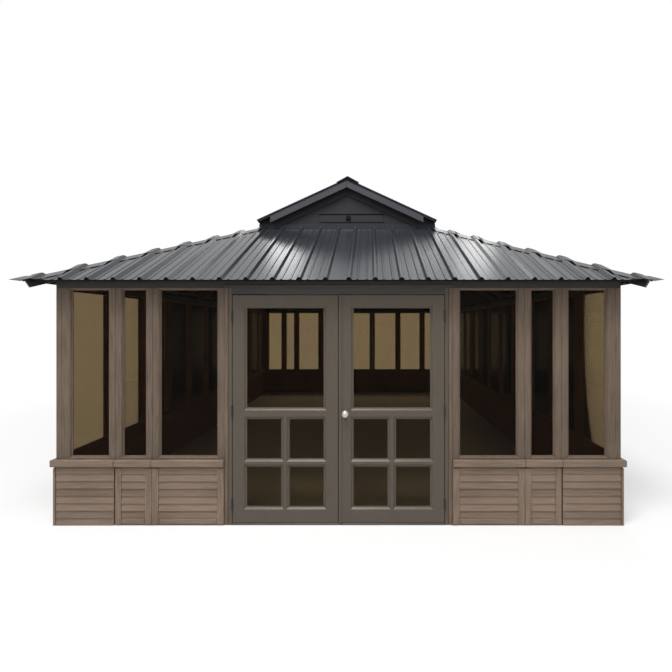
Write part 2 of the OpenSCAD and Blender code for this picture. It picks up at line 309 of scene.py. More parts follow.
taupe_light, taupe_dark = (0.222, 0.162, 0.120, 1), (0.110, 0.078, 0.056, 1)
upright_wood = wall_wood("upright_wood", taupe_light, taupe_dark, (70, 70, 4))
level_wood = wall_wood("level_wood", taupe_light, taupe_dark, (4, 4, 110))
siding_wood = wall_wood("siding_wood", taupe_light, taupe_dark, (5, 5, 260), rows=course)
seal_rubber = dull_black("seal_rubber", (0.010, 0.008, 0.006, 1), (0.026, 0.021, 0.017, 1),
                         30, 3.0, 0.6, 0.2)


def finish_piece(piece, body, slot, *materials):
    """Give a piece its materials and body. The slot argument is not used."""
    piece.data.materials.clear()
    for material in materials:
        piece.data.materials.append(material)
    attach(piece, body)
    return piece


def joint_gap(place):
    """Half a joint between panels: an open one beside the corner panels, else a tight one."""
    return open_joint if abs(abs(place) - joint_ab) < 0.001 else seam


for wall, (_, _, panels) in walls.items():
    framing, siding = [], []
    face, back = -clad_out, -clad_out + field_deep
    across = wall in ("front", "back")
    reach = half_w + clad_out if across else end_l
    for number, (start, end, left, right) in enumerate(panels):
        if across and number in (0, len(panels) - 1):
            side, inner = (1, start) if number else (-1, end)
            trim = side * (reach - trim_w)
            x0, x1 = sorted((trim, side * reach))
            framing.append(board("trim", (x0, face, 0), (x1, back, boards_top)))
            x0, x1 = sorted((inner + side * 0.006, trim - side * 0.003))
            siding.append(lap_siding("siding", x0, x1, 0.0, boards_top))
        else:
            framing += [board("stile", (start + joint_gap(start), face, foot_gap),
                              (start + left, back, boards_top)),
                        board("stile", (end - right, face, foot_gap),
                              (end - joint_gap(end), back, boards_top))]
            siding.append(board("rail", (start + left, face, foot_gap),
                                (end - right, back, rail_top), 0.009))
            siding.append(lap_siding("siding", start + left, end - right, rail_top, boards_top))
    if across:
        strips = [board("strip", (side * joint_ab - seal_half, face + 0.012, 0.001),
                        (side * joint_ab + seal_half, back + 0.001, sill_under))
                  for side in (-1, 1)]
        joint_seals = stand_on(wall, join(f"joint_seals_{wall}", strips))
        finish_piece(joint_seals, "root", "painted_wood", seal_rubber)
    spans = [(-reach, -door_half), (door_half, reach)] if wall == "front" else [(-reach, reach)]
    for start, end in spans:
        framing.append(board("core", (start, back, 0), (end, wall_t, sill_under)))
    frames = stand_on(wall, join(f"low_wall_{wall}", framing))
    boards = stand_on(wall, join(f"siding_{wall}", siding))
    finish_piece(frames, "root", "painted_wood", upright_wood)
    finish_piece(boards, "root", "painted_wood", siding_wood)
    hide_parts(f"knee_wall_{wall}")

# ---- Sills ----
# Planed softwood boards on the low walls, one length to each panel, with a rounded nose and
# their ends butted together.
sill_out = -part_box("sill_left")[0].x - half_w
sill_in = wall_t + 0.012
for wall, (_, _, panels) in walls.items():
    lengths = []
    for number, (start, end, _, _) in enumerate(panels):
        if wall in ("front", "back"):
            if number == 0:
                start = -half_w - sill_out
            if number == len(panels) - 1:
                end = half_w + sill_out
        elif number == 0:
            start = -half_l + sill_in
        elif number == len(panels) - 1:
            end = half_l - sill_in
        lengths.append(board("sill", (start + seam / 2, -sill_out, sill_under),
                             (end - seam / 2, sill_in, sill_top), 0.007))
    sill = stand_on(wall, join(f"sill_boards_{wall}", lengths))
    finish_piece(sill, "root", "painted_wood", level_wood)
    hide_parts(f"sill_{wall}")

# ---- Window frames ----
# One softwood frame stands on each panel, in a darker copy of the low walls' taupe: painted
# shade from the eaves. Its edges slope in to the pane, which sits in a dark rubber gasket, made
# wide so that its black also paints the shade in the reveal.
pane_low, pane_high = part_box("glass_front")
pane_faces = (pane_low.y + half_l, pane_high.y + half_l)
# the black gasket is wider than a real one, so that it also paints the shade in each reveal
gasket_and_shade_w, gasket_lean, gasket_edge = 0.011, 0.002, 0.001
# a darker copy of the taupe paint, as painted shade from the eaves on the upper walls
frame_wood_painted_shade = wall_wood("frame_wood_painted_shade", (0.156, 0.113, 0.083, 1), (0.079, 0.057, 0.041, 1),
                       (70, 70, 4))


def sash(name, low, high, openings, panes, slope_w, slope_d, arris=0.0025):
    """A frame between two corners with openings (x0, x1, z0, z1) for panes whose faces are at
    the two y values: the edges slope in towards each pane, then a black gasket holds it, wide
    enough to paint the reveal's shade too."""
    piece = board(name, low, high, arris)
    piece.data.materials.append(upright_wood)
    piece.data.materials.append(seal_rubber)
    bpy.ops.object.mode_set(mode="EDIT")
    for x in sorted({x + d for o in openings for x, d in zip(o[:2], (-slope_w, slope_w))}):
        bpy.ops.mesh.select_all(action="SELECT")
        bpy.ops.mesh.bisect(plane_co=(x, 0, 0), plane_no=(1, 0, 0))
    for z in sorted({z + d for o in openings for z, d in zip(o[2:], (-slope_w, slope_w))}):
        bpy.ops.mesh.select_all(action="SELECT")
        bpy.ops.mesh.bisect(plane_co=(0, 0, z), plane_no=(0, 0, 1))
    shape = bmesh.from_edit_mesh(piece.data)
    for x0, x1, z0, z1 in openings:
        for side, pane_face, face in ((-1, panes[0], low[1]), (1, panes[1], high[1])):
            bpy.ops.mesh.select_all(action="DESELECT")
            for f in shape.faces:
                middle = f.calc_center_median()
                if (f.normal.y * side > 0.9 and abs(middle.y - face) < 0.0001
                        and x0 - slope_w < middle.x < x1 + slope_w
                        and z0 - slope_w < middle.z < z1 + slope_w):
                    f.select_set(True)
            straight = abs(pane_face - face) - slope_d - gasket_lean - gasket_edge
            bpy.ops.mesh.inset(thickness=slope_w, depth=-slope_d)
            bpy.ops.mesh.extrude_region_move(
                TRANSFORM_OT_translate={"value": (0, -side * straight, 0)})
            bpy.ops.mesh.inset(thickness=gasket_and_shade_w, depth=-gasket_lean)
            bpy.ops.mesh.extrude_region_move(
                TRANSFORM_OT_translate={"value": (0, -side * gasket_edge, 0)})
            bpy.ops.mesh.delete(type="FACE")
        bpy.ops.mesh.select_all(action="DESELECT")
        for e in shape.edges:
            if e.is_boundary:
                e.select_set(True)
        bpy.ops.mesh.bridge_edge_loops()
    # the gasket faces take the black rubber, which also paints the shade in the reveals
    for f in shape.faces:
        middle = f.calc_center_median()
        for x0, x1, z0, z1 in openings:
            if min(middle.x - x0, x1 - middle.x, middle.z - z0, z1 - middle.z) > 0.0005:
                f.material_index = 1
    bmesh.update_edit_mesh(piece.data)
    bpy.ops.mesh.select_all(action="SELECT")
    bpy.ops.mesh.normals_make_consistent(inside=False)
    bpy.ops.object.mode_set(mode="OBJECT")
    return piece


for wall, (_, _, panels) in walls.items():
    frames = []
    for start, end, left, right in panels:
        frames.append(sash(
            "window", (start + seam / 2, 0, sill_top), (end - seam / 2, wall_t, head_z),
            [(start + left, end - right, pane_low.z, pane_high.z)], pane_faces, 0.007, 0.010))
    window = stand_on(wall, join(f"window_frames_{wall}", frames))
    finish_piece(window, "root", "painted_wood", frame_wood_painted_shade, seal_rubber)
    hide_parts(f"window_frame_{wall}")

# ---- Window glass ----
# Flat sheets of bronze-tinted glass, in the windows and in the doors. They look dark by day
# because little light comes back out of the room.


def mix_shaders(tree, share, a, b):
    made = tree.nodes.new("ShaderNodeMixShader")
    feed(tree, made.inputs, (share, a.outputs[0], b.outputs[0]))
    return made.outputs[0]


def tinted_glass(name, tint):
    """Clear through its tint, with a faint reflection that waves a little."""
    material, tree, surface, place = new_material(name)
    tree.nodes.remove(surface)
    through = node(tree, "ShaderNodeBsdfTransparent", Color=tint)
    wave = relief(tree, streaks(tree, place, (1.3, 1.3, 0.9), 1.0), 0.02, 0.005)
    shine = node(tree, "ShaderNodeBsdfGlossy", Color=(1, 1, 1, 1), Roughness=0.02, Normal=wave)
    fresnel = node(tree, "ShaderNodeFresnel", IOR=1.12).outputs[0]
    wire(tree, tree.nodes["Material Output"], Surface=mix_shaders(tree, fresnel, through, shine))
    return material


def finish_node(name, material):
    """Give a part that is kept as it is its material."""
    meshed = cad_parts[name].data
    meshed.materials.clear()
    meshed.materials.append(material)


bronze_glass = tinted_glass("bronze_glass", (0.625, 0.575, 0.485, 1))
for name in ("glass_front", "glass_back", "glass_left", "glass_right",
             "door_glass_left", "door_glass_right"):
    finish_node(name, bronze_glass)

# ---- Corner posts ----
# A square softwood post stands in each corner between the window walls. It is painted like
# the window frames, in their taupe darkened with painted eave shade, and carries the ends of
# two beams.
for name in ("front_left", "front_right", "back_left", "back_right"):
    low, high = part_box(f"corner_post_{name}")
    post = board(f"post_{name}", low, high, 0.003)
    finish_piece(post, "root", "painted_wood", frame_wood_painted_shade)
    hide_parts(f"corner_post_{name}")

# ---- Top beams ----
# Deep charcoal beams lie on the posts and window frames and carry the rafters. Their coating
# is smooth and shows no grain.


def charcoal(name, tone, roughness):
    """Dark paint or coating that drifts a little in tone and gloss."""
    material, tree, surface, place = new_material(name)
    drift = streaks(tree, place, (2.0, 2.0, 9.0), 4.0)
    light = tuple(c * 1.25 for c in tone) + (1,)
    dark = tuple(c * 0.8 for c in tone) + (1,)
    wire(tree, surface, Base_Color=blend_colours(tree, drift, dark, light),
         Roughness=between(tree, drift, roughness + 0.06, roughness - 0.06),
         Specular_IOR_Level=0.25,
         Normal=relief(tree, streaks(tree, place, (160, 160, 160), 2.0), 0.12, 0.0005))
    return material


beam_metal = charcoal("beam_metal", (0.036, 0.034, 0.032), 0.4)
for wall in walls:
    low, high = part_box(f"top_beam_{wall}")
    beam = board(f"beam_{wall}", low, high, 0.003)
    finish_piece(beam, "root", "charcoal_trim", beam_metal)
    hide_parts(f"top_beam_{wall}")

# ---- Roof sheets ----
# Ribbed steel sheet, colour-coated dark grey: a high rib every nine inches with two low
# stiffening ribs between, running from the eave up to the vent.
pitch = 0.5
roof_low, roof_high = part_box("roof_front")
run = roof_high.y - roof_low.y
eave_w, eave_l = roof_high.x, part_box("roof_back")[1].y
eave_z = roof_low.z
gauge = 0.0009
rib_step = 0.2286
rib_high, rib_low = 0.024, 0.006
rib_line = [(0.010, rib_high), (0.027, 0), (0.064, 0), (0.070, rib_low), (0.080, rib_low),
            (0.086, 0), (0.1426, 0), (0.1486, rib_low), (0.1586, rib_low), (0.1646, 0),
            (0.2016, 0), (0.2186, rib_high), (rib_step, rib_high)]


def extruded_strip(name, line, y0, y1):
    """A sheet folded along a line of (x, z) points, from y0 to y1: its first edge is drawn on
    from point to point."""
    bpy.ops.object.select_all(action="DESELECT")
    bpy.ops.mesh.primitive_plane_add(size=1, location=(0, (y0 + y1) / 2, 0))
    bpy.context.object.scale = (1, y1 - y0, 1)
    piece = start_piece(name)
    bpy.ops.object.mode_set(mode="EDIT")
    shape = bmesh.from_edit_mesh(piece.data)
    bpy.ops.mesh.select_all(action="DESELECT")
    for v in shape.verts:
        v.select_set(v.co.x < 0)
    bpy.ops.mesh.delete(type="VERT")
    shape = bmesh.from_edit_mesh(piece.data)
    for v in shape.verts:
        v.co.x, v.co.z = line[0][0], line[0][1]
        v.select_set(True)
    shape.select_flush(True)
    bmesh.update_edit_mesh(piece.data)
    for (x0, z0), (x1, z1) in zip(line, line[1:]):
        bpy.ops.mesh.extrude_region_move(TRANSFORM_OT_translate={"value": (x1 - x0, 0, z1 - z0)})
    bpy.ops.object.mode_set(mode="OBJECT")
    return piece


def ribbed_run(name, middle, count, length):
    """A run of ribbed sheet: the line from its middle to its first whole rib, then count ribs,
    and the same mirrored."""
    same_point = 0.0005
    strip = extruded_strip(name, [(0, rib_high)] + rib_line, 0, length)
    row = repeat(strip, count, (rib_step, 0, 0))
    row.use_merge_vertices = True
    row.merge_threshold = same_point
    apply_modifiers(strip)
    strip.location.x = middle[-1][0]
    settle()
    whole = join(name, [strip, extruded_strip("inner", middle, 0, length)])
    bpy.ops.object.mode_set(mode="EDIT")
    bpy.ops.mesh.select_all(action="SELECT")
    bpy.ops.mesh.remove_doubles(threshold=same_point)
    bpy.ops.object.mode_set(mode="OBJECT")
    mirror = whole.modifiers.new("other half", "MIRROR")
    mirror.merge_threshold = same_point
    apply_modifiers(whole)
    return whole


def lay_on_slope(piece, own, foot_z, rise):
    """Tip a sheet made in the level up to a slope whose eave is own from the middle."""
    pick(piece)
    piece.rotation_euler = (math.atan(rise), 0, 0)
    piece.location = (0, -own, foot_z)
    settle()


def trim_by(piece, point, normal):
    """Cut away what lies past a plane."""
    pick(piece)
    bpy.ops.object.mode_set(mode="EDIT")
    bpy.ops.mesh.select_all(action="SELECT")
    bpy.ops.mesh.bisect(plane_co=point, plane_no=normal, clear_outer=True)
    bpy.ops.object.mode_set(mode="OBJECT")


def thicken(piece, thickness):
    """Give a sheet its gauge, downwards, after its normals are turned up."""
    bpy.ops.object.mode_set(mode="EDIT")
    bpy.ops.mesh.select_all(action="SELECT")
    bpy.ops.mesh.normals_make_consistent(inside=False)
    bpy.ops.object.mode_set(mode="OBJECT")
    if sum(p.normal.z * p.area for p in piece.data.polygons) < 0:
        bpy.ops.object.mode_set(mode="EDIT")
        bpy.ops.mesh.flip_normals()
        bpy.ops.object.mode_set(mode="OBJECT")
    solid = piece.modifiers.new("gauge", "SOLIDIFY")
    solid.thickness = thickness
    solid.offset = -1
    apply_modifiers(piece)


def roof_coat(name):
    """Colour coat over steel: dark grey with a soft shine, a little dust in the pans."""
    material, tree, surface, place = new_material(name)
    cloud = streaks(tree, place, (0.9, 0.9, 0.9), 4.0)
    speck = streaks(tree, place, (42, 42, 42), 5.0)
    tone = mingle(tree, cloud, 0.7, speck, 0.3)
    wave = streaks(tree, place, (1.4, 1.4, 1.4), 1.0)
    wire(tree, surface, Roughness=between(tree, tone, 0.16, 0.32), Specular_IOR_Level=0.55,
         Base_Color=blend_colours(tree, tone, (0.012, 0.014, 0.018, 1), (0.030, 0.033, 0.039, 1)),
         Normal=relief(tree, wave, 0.25, 0.004))
    return material


roof_steel = roof_coat("roof_steel")
slope_length = run * math.hypot(1, pitch)
# the sheets start with a pan or a rib in the middle; each slope has its own distance from the
# middle of the room to the eave, half its width, its line to the first rib, and ribs from there
pan_middle = [(0, 0), (0.074, 0), (0.091, rib_high), (0.101, rib_high)]
rib_middle = [(0, rib_high), (0.010, rib_high), (0.027, 0), (0.150, 0), (0.167, rib_high),
              (0.177, rib_high)]
end_slope = (eave_l, eave_w, pan_middle, 12)
side_slope = (eave_w, eave_l, rib_middle, 17)
slopes = {"front": end_slope, "back": end_slope, "left": side_slope, "right": side_slope}
for wall, (own, other, middle, count) in slopes.items():
    sheet = ribbed_run(f"roof_sheet_{wall}", middle, count, slope_length)
    lay_on_slope(sheet, own, eave_z + 0.002, pitch)
    for side in (-1, 1):
        trim_by(sheet, (side * other, -own, 0), (side, 1, 0))
    thicken(sheet, gauge)
    turn_round(sheet, walls[wall][0])
    finish_piece(sheet, "root", "roof_steel", roof_steel)
    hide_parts(f"roof_{wall}")

# ---- Hip caps ----
# Folded ridging screwed down over the hips, beaten down between the ribs so that it rises in
# a hump over each of them, and running out past the corners. Near-black foam fills the gap
# between the sheets and the ridging, and stands in for the painted shadow under its edges.
hip_pitch = pitch / math.sqrt(2)
cap_past = (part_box("hip_caps")[1].x - eave_w) * math.sqrt(2)
hip_wing, hip_foot = 0.090, 0.010
seal_in, seal_drop, seal_t = 0.003, 0.0012, 0.010
corner_rib, ribs_per_hip = 0.0844, 8
hump_shift, hump_flat, hump_end = 0.030, 0.028, 0.068
rib_places = [math.sqrt(2) * (corner_rib + k * rib_step) for k in range(ribs_per_hip)]


def smooth_step(a, b, value):
    t = min(1, max(0, (value - a) / (b - a)))
    return t * t * (3 - 2 * t)


def hip_cap(name, sx, sy, wing, drop, spacing):
    """A strip folded along one hip: each hump follows its rib across the wings, a little nearer
    to the corner."""
    length = run * math.sqrt(2) + cap_past + 0.15
    bpy.ops.object.select_all(action="DESELECT")
    bpy.ops.mesh.primitive_grid_add(x_subdivisions=int(length / spacing), y_subdivisions=16, size=1)
    cap = start_piece(name)
    for v in cap.data.vertices:
        s = (v.co.x + 0.5) * length - cap_past
        q = v.co.y * 2 * wing
        along = s + abs(q) + hump_shift
        hump = max(1 - smooth_step(hump_flat, hump_end, abs(along - rib)) for rib in rib_places)
        hump = max(hump, 1 - smooth_step(0.0, 0.10, s))
        z = eave_z + (s - abs(q)) * hip_pitch + hip_foot - drop + hump * (rib_high - 0.001)
        v.co = (s, q, z)
    cap.rotation_euler = (0, 0, math.atan2(-sy, -sx))
    cap.location = (sx * eave_w, sy * eave_l, 0)
    settle()
    past = cap_past / math.sqrt(2)
    trim_by(cap, (sx * (eave_w + past), 0, 0), (sx, 0, 0))
    trim_by(cap, (0, sy * (eave_l + past), 0), (0, sy, 0))
    return cap


# near-black foam, also used for sheets that paint the shade under the roof's edges
near_black_and_shade = dull_black("near_black_and_shade", (0.004, 0.004, 0.004, 1), (0.012, 0.011, 0.011, 1),
                          40, 2.0, 0.85, 0.1)
caps, hip_foam_shade_strips = [], []
for sx in (-1, 1):
    for sy in (-1, 1):
        cap = hip_cap("cap", sx, sy, hip_wing, 0, 0.009)
        thicken(cap, gauge)
        caps.append(cap)
        seal = hip_cap("seal", sx, sy, hip_wing - seal_in, seal_drop, 0.018)
        trim_by(seal, (sx * eave_w, sy * eave_l, 0), (sx, sy, 0))
        thicken(seal, seal_t)
        hip_foam_shade_strips.append(seal)
# the near-black foam paints the shadow under the ridging's edges
finish_piece(join("hip_foam_shade", hip_foam_shade_strips), "root", "charcoal_trim", near_black_and_shade)
hip_caps = join("hip_cap_sheets", caps)
bpy.ops.object.shade_smooth_by_angle(angle=math.radians(35))
finish_piece(hip_caps, "root", "roof_steel", roof_steel)
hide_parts("hip_caps")

# ---- Rafters ----
# Sawn common, jack and hip rafters, stained inside. The tails of the hip rafters run out to
# the corners of the roof and are near-black there.


def rafter_wood():
    material, tree, surface, place = new_material("rafter_wood")
    fine = streaks(tree, place, (24, 24, 60))
    stain = blend_colours(tree, fine, (0.060, 0.020, 0.010, 1), (0.180, 0.063, 0.030, 1))
    dark = blend_colours(tree, fine, (0.004, 0.004, 0.004, 1), (0.012, 0.012, 0.011, 1))
    outside = maths(tree, "GREATER_THAN", past_walls(tree, place), 0.0)
    wire(tree, surface, Base_Color=blend_colours(tree, outside, stain, dark), Roughness=0.6,
         Specular_IOR_Level=0.2, Normal=relief(tree, fine, 0.3, 0.001))
    return material


rafter_stain = rafter_wood()
for name in ("rafters", "hip_rafters"):
    finish_node(name, rafter_stain)

# ---- Eaves ----
# A batten carries the sheets along the eaves, foam blocks fill the rib ends, and boards standing
# on the beams close the gap up to the sheets. All are near-black: painted shade under the eaves.
beam_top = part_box("top_beam_front")[1].z
foam_w, foam_d, foam_h = 0.040, 0.010, 0.023
foam_z = eave_z + 0.0125
for wall, (own, other, middle, count) in slopes.items():
    bpy.ops.object.select_all(action="DESELECT")
    bpy.ops.mesh.primitive_cube_add(size=1, location=(middle[-1][0], -own + 0.009, foam_z))
    bpy.context.object.scale = (foam_w, foam_d, foam_h)
    foam = start_piece("foam")
    bpy.ops.object.mode_set(mode="EDIT")
    shape = bmesh.from_edit_mesh(foam.data)
    for v in shape.verts:
        v.select_set(v.co.z > foam_z)
    shape.select_flush(True)
    bpy.ops.transform.resize(value=(0.55, 1, 1))
    bpy.ops.object.mode_set(mode="OBJECT")
    repeat(foam, count, (rib_step, 0, 0))
    foam.modifiers.new("other half", "MIRROR")
    apply_modifiers(foam)
    batten = board("batten", (-other + 0.035, -own + 0.004, eave_z - 0.009),
                   (other - 0.035, -own + 0.034, eave_z))
    inset = own - (half_l if own == eave_l else half_w)
    closing = board("closing", (-other + inset + 0.02, -own + inset + 0.001, beam_top),
                    (other - inset - 0.02, -own + inset + 0.013, eave_z + inset * pitch - 0.001))
    eave_shade_closure = join(f"eave_closure_shade_{wall}", [foam, batten, closing])
    turn_round(eave_shade_closure, walls[wall][0])
    # near-black, painted shade under the sheets
    finish_piece(eave_shade_closure, "root", "charcoal_trim", near_black_and_shade)

# ---- Vent walls ----
# Painted boards stand on the opening at the top of the roof. A dark apron flashing covers
# their foot, a frieze board follows each gable, and the gable has a low hatch with a round pull
# and a hood strip over it, near-black as painted shade along the hatch's top.
curb_side, curb_front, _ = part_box("vent_gables")[1]
vent_foot = eave_z + run * pitch
vent_half, vent_end, vent_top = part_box("vent_roof_right")[1]
vent_pitch = 0.46
rake_drop = 0.036
apron_t, apron_h = 0.006, 0.057
hatch_left, hatch_right, hatch_foot, hatch_head = -0.344, 0.452, 3.072, 3.164
frieze_t, hatch_t, hood_t, pull_t = 0.012, 0.009, 0.016, 0.022
pull_x, pull_z, pull_off = 0.014, 3.123, 0.020
gable_paint = charcoal("gable_paint", (0.0125, 0.012, 0.0145), 0.55)
frieze_paint = charcoal("frieze_paint", (0.016, 0.016, 0.018), 0.6)
apron_metal = charcoal("apron_metal", (0.014, 0.018, 0.023), 0.4)
for name in ("vent_gables", "vent_sides"):
    finish_node(name, gable_paint)


def raking_board(name, reach, top, height, y0, y1, arris=0.002):
    """A pair of boards under the two slopes of the vent's roof, meeting at the ridge."""
    halves = []
    for side in (-1, 1):
        low, high = sorted((0, side * reach))
        half = board(name, (low, y0, top - height), (high, y1, top), arris)
        for v in half.data.vertices:
            v.co.z -= abs(v.co.x) * vent_pitch
        halves.append(half)
    return join(name, halves)


def turned_disc(name, radius, depth, middle, rim, steps, vertices):
    """A disc that faces the front, turned with a rounded rim."""
    bpy.ops.object.select_all(action="DESELECT")
    bpy.ops.mesh.primitive_cylinder_add(vertices=vertices, radius=radius, depth=depth,
                                        location=middle, rotation=(math.pi / 2, 0, 0))
    disc = start_piece(name)
    soft = disc.modifiers.new("rounding", "BEVEL")
    soft.width = rim
    soft.segments = steps
    soft.limit_method = "ANGLE"
    apply_modifiers(disc)
    return disc


for side, word in ((-1, "front"), (1, "back")):
    face = side * curb_front
    y0, y1 = sorted((face, face + side * frieze_t))
    frieze = raking_board(f"gable_frieze_{word}", 0.98, vent_top - rake_drop, 0.150, y0, y1)
    finish_piece(frieze, "root", "charcoal_trim", frieze_paint)
    y0, y1 = sorted((face, face + side * hatch_t))
    hatch = board(f"gable_hatch_{word}", (hatch_left, y0, hatch_foot),
                  (hatch_right, y1, hatch_head), 0.003)
    finish_piece(hatch, "root", "charcoal_trim", gable_paint)
    # a near-black strip over the hatch: painted shade along its top edge
    y0, y1 = sorted((face, face + side * hood_t))
    hood_shade = board(f"hatch_hood_shade_{word}", (hatch_left - 0.008, y0, hatch_head + 0.001),
                 (hatch_right + 0.008, y1, hatch_head + 0.011), 0.003)
    finish_piece(hood_shade, "root", "charcoal_trim", near_black_and_shade)
    pull = turned_disc(f"gable_pull_{word}", 0.030, pull_t,
                       (pull_x, face + side * pull_off, pull_z), 0.006, 3, 32)
    finish_piece(pull, "root", "charcoal_trim", near_black_and_shade)
aprons = []
for side in (-1, 1):
    y0, y1 = sorted((side * curb_front, side * (curb_front + apron_t)))
    aprons.append(board("apron", (-curb_side - apron_t, y0, vent_foot),
                        (curb_side + apron_t, y1, vent_foot + apron_h)))
    x0, x1 = sorted((side * curb_side, side * (curb_side + apron_t)))
    aprons.append(board("apron", (x0, -curb_front, vent_foot),
                        (x1, curb_front, vent_foot + apron_h)))
finish_piece(join("vent_apron", aprons), "root", "charcoal_trim", apron_metal)

# ---- Vent roof ----
# Two slopes of the same ribbed sheet on thin decking, with rake boards on the verges and a
# folded cap over the ridge.
vent_metal = charcoal("vent_metal", (0.048, 0.047, 0.056), 0.36)
vent_slope = vent_half * math.hypot(1, vent_pitch)
vent_ribs = 11
for name, turn in (("left", -math.pi / 2), ("right", math.pi / 2)):
    sheet = ribbed_run(f"vent_sheet_{name}", pan_middle, vent_ribs, vent_slope)
    lay_on_slope(sheet, vent_half, vent_top - vent_half * vent_pitch - rib_high - 0.002, vent_pitch)
    for side in (-1, 1):
        trim_by(sheet, (side * vent_end, 0, 0), (side, 0, 0))
    thicken(sheet, gauge)
    deck = board("deck", (-vent_end, -vent_half + 0.008, 0), (vent_end, 0, 0.008), 0.001)
    for v in deck.data.vertices:
        v.co.z += vent_top - 0.035 + v.co.y * vent_pitch
    sheet = join(sheet.name, [sheet, deck])
    turn_round(sheet, turn)
    finish_piece(sheet, "root", "roof_steel", roof_steel)
    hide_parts(f"vent_roof_{name}")
rakes = []
for side in (-1, 1):
    y0, y1 = sorted((side * vent_end, side * (vent_end - 0.025)))
    rakes.append(raking_board("rake", 0.936, vent_top - rake_drop, 0.078, y0, y1, 0.004))
rakes = join("rake_board_pairs", rakes)
finish_piece(rakes, "root", "charcoal_trim", vent_metal)
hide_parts("rake_boards")
cap_shift, cap_wing, cap_lip = 0.010, 0.136, 0.026
cap_top, cap_t, cap_over = 0.022, 0.009, 0.008
wing_z = 0.010 - cap_wing * vent_pitch
ridge_line = [(cap_shift - cap_wing, wing_z - cap_lip), (cap_shift - cap_wing, wing_z),
              (cap_shift, cap_top), (cap_shift + cap_wing, wing_z),
              (cap_shift + cap_wing, wing_z - cap_lip)]
ridge = extruded_strip("ridge_cap", ridge_line, -vent_end - cap_over, vent_end + cap_over)
ridge.location.z = vent_top
settle()
thicken(ridge, cap_t)
finish_piece(ridge, "root", "roof_steel", vent_metal)
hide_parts("vent_ridge_cap")

# ---- Door frame ----
# Softwood jambs and threshold painted grey-brown like the doors, a darker head with a casing
# strip over it, and a casing down each side in the window frames' taupe, darkened with painted
# shade.
leaf_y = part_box("door_frame")[0].y
frame_back = leaf_y + 0.070
door_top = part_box("door_leaf_right")[1].z
jamb_in, jamb_out, casing_in = 0.956, 0.9895, 0.9915
threshold_h, head_casing_h = 0.016, 0.029


def door_wood(name, grain):
    """Planed wood under satin paint that shows a little of its grain."""
    material, tree, surface, place = new_material(name)
    fine = streaks(tree, place, grain)
    wire(tree, surface, Roughness=between(tree, fine, 0.44, 0.36), Specular_IOR_Level=0.3,
         Base_Color=blend_colours(tree, fine, (0.066, 0.053, 0.039, 1), (0.089, 0.073, 0.056, 1)),
         Normal=relief(tree, fine, 0.12, 0.0006))
    return material


door_paint = door_wood("door_paint", (60, 60, 6))
head_paint = charcoal("head_paint", (0.048, 0.045, 0.044), 0.38)
jambs, casings = [], []
for side in (-1, 1):
    x0, x1 = sorted((side * jamb_in, side * jamb_out))
    jambs.append(board("jamb", (x0, leaf_y + 0.003, 0), (x1, frame_back, head_z)))
    x0, x1 = sorted((side * casing_in, side * door_half))
    casings.append(board("casing", (x0, leaf_y, 0), (x1, frame_back, head_z), 0.004))
head = [board("head", (-jamb_in, leaf_y + 0.001, door_top + 0.007),
              (jamb_in, frame_back, head_z)),
        board("head casing", (-door_half, leaf_y, head_z),
              (door_half, -half_l, head_z + head_casing_h), 0.003)]
jambs.append(board("threshold", (-jamb_in, leaf_y, 0), (jamb_in, frame_back, threshold_h), 0.003))
jambs = join("door_jambs", jambs)
finish_piece(jambs, "root", "door_paint", door_paint)
finish_piece(join("door_head", head), "root", "door_paint", head_paint)
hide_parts("door_frame")
finish_piece(join("door_casings", casings), "root", "painted_wood", frame_wood_painted_shade)

# ---- Door leaves ----
# Each leaf is one tall pane over four small ones, in stiles and rails whose edges slope in to
# the glass. A strip on the right-hand leaf covers the joint between the two, and a brush in
# the edge of the left-hand one seals it.
light_left, bar_left, bar_right, light_right = 0.124, 0.453, 0.507, 0.836
leaf_openings = [(light_left, light_right, 1.045, 1.960)] + [
    (x0, x1, z0, z1) for x0, x1 in ((light_left, bar_left), (bar_right, light_right))
    for z0, z1 in ((0.156, 0.5315), (0.5855, 0.961))]
leaf_t = 0.045
leaf_near, leaf_far = 0.0025, 0.951
moulding, bevel_back = 0.014, 0.0025
leaf_pane_y = [corner.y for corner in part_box("door_glass_right")]
for side, word in ((-1, "left"), (1, "right")):
    leaf_low, leaf_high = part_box(f"door_leaf_{word}")
    near, far = sorted((side * leaf_near, side * leaf_far))
    openings = [tuple(sorted((side * x0, side * x1))) + (z0, z1)
                for x0, x1, z0, z1 in leaf_openings]
    leaf = sash(f"leaf_{word}", (near, leaf_y, leaf_low.z), (far, leaf_y + leaf_t, leaf_high.z),
                openings, leaf_pane_y, moulding, moulding)
    # the meeting edges are planed to a bevel at the back, so that the leaves clear each other
    for v in leaf.data.vertices:
        if abs(v.co.x) < 0.01 and v.co.y > leaf_y + leaf_t / 2:
            v.co.x += side * bevel_back
    if side == 1:
        strip = board("cover strip", (0.003, leaf_y - 0.008, leaf_low.z),
                      (0.030, leaf_y, leaf_high.z - 0.002))
        leaf = join(leaf.name, [leaf, strip])
    else:
        brush = board("meeting_seal", (-0.0032, leaf_y + 0.006, leaf_low.z + 0.002),
                      (0.0015, leaf_y + 0.014, leaf_high.z - 0.002), 0.0005)
        finish_piece(brush, "door_left", "door_paint", seal_rubber)
    finish_piece(leaf, f"door_{word}", "door_paint", door_paint, seal_rubber)
    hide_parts(f"door_leaf_{word}")

# ---- Hinges ----
# Three butt hinges of dark steel on each leaf, with one leaf let into the door and the other
# into the jamb. Their barrels stand out at the front.
hinge_steel = charcoal("hinge_steel", (0.026, 0.022, 0.019), 0.4)
for name in ("hinges_left", "hinges_right", "hinge_jamb_leaves"):
    finish_node(name, hinge_steel)

# ---- Door knob ----
# Turned satin-nickel knobs on one spindle, each over a round rose. A keyhole lies below the
# outer one.


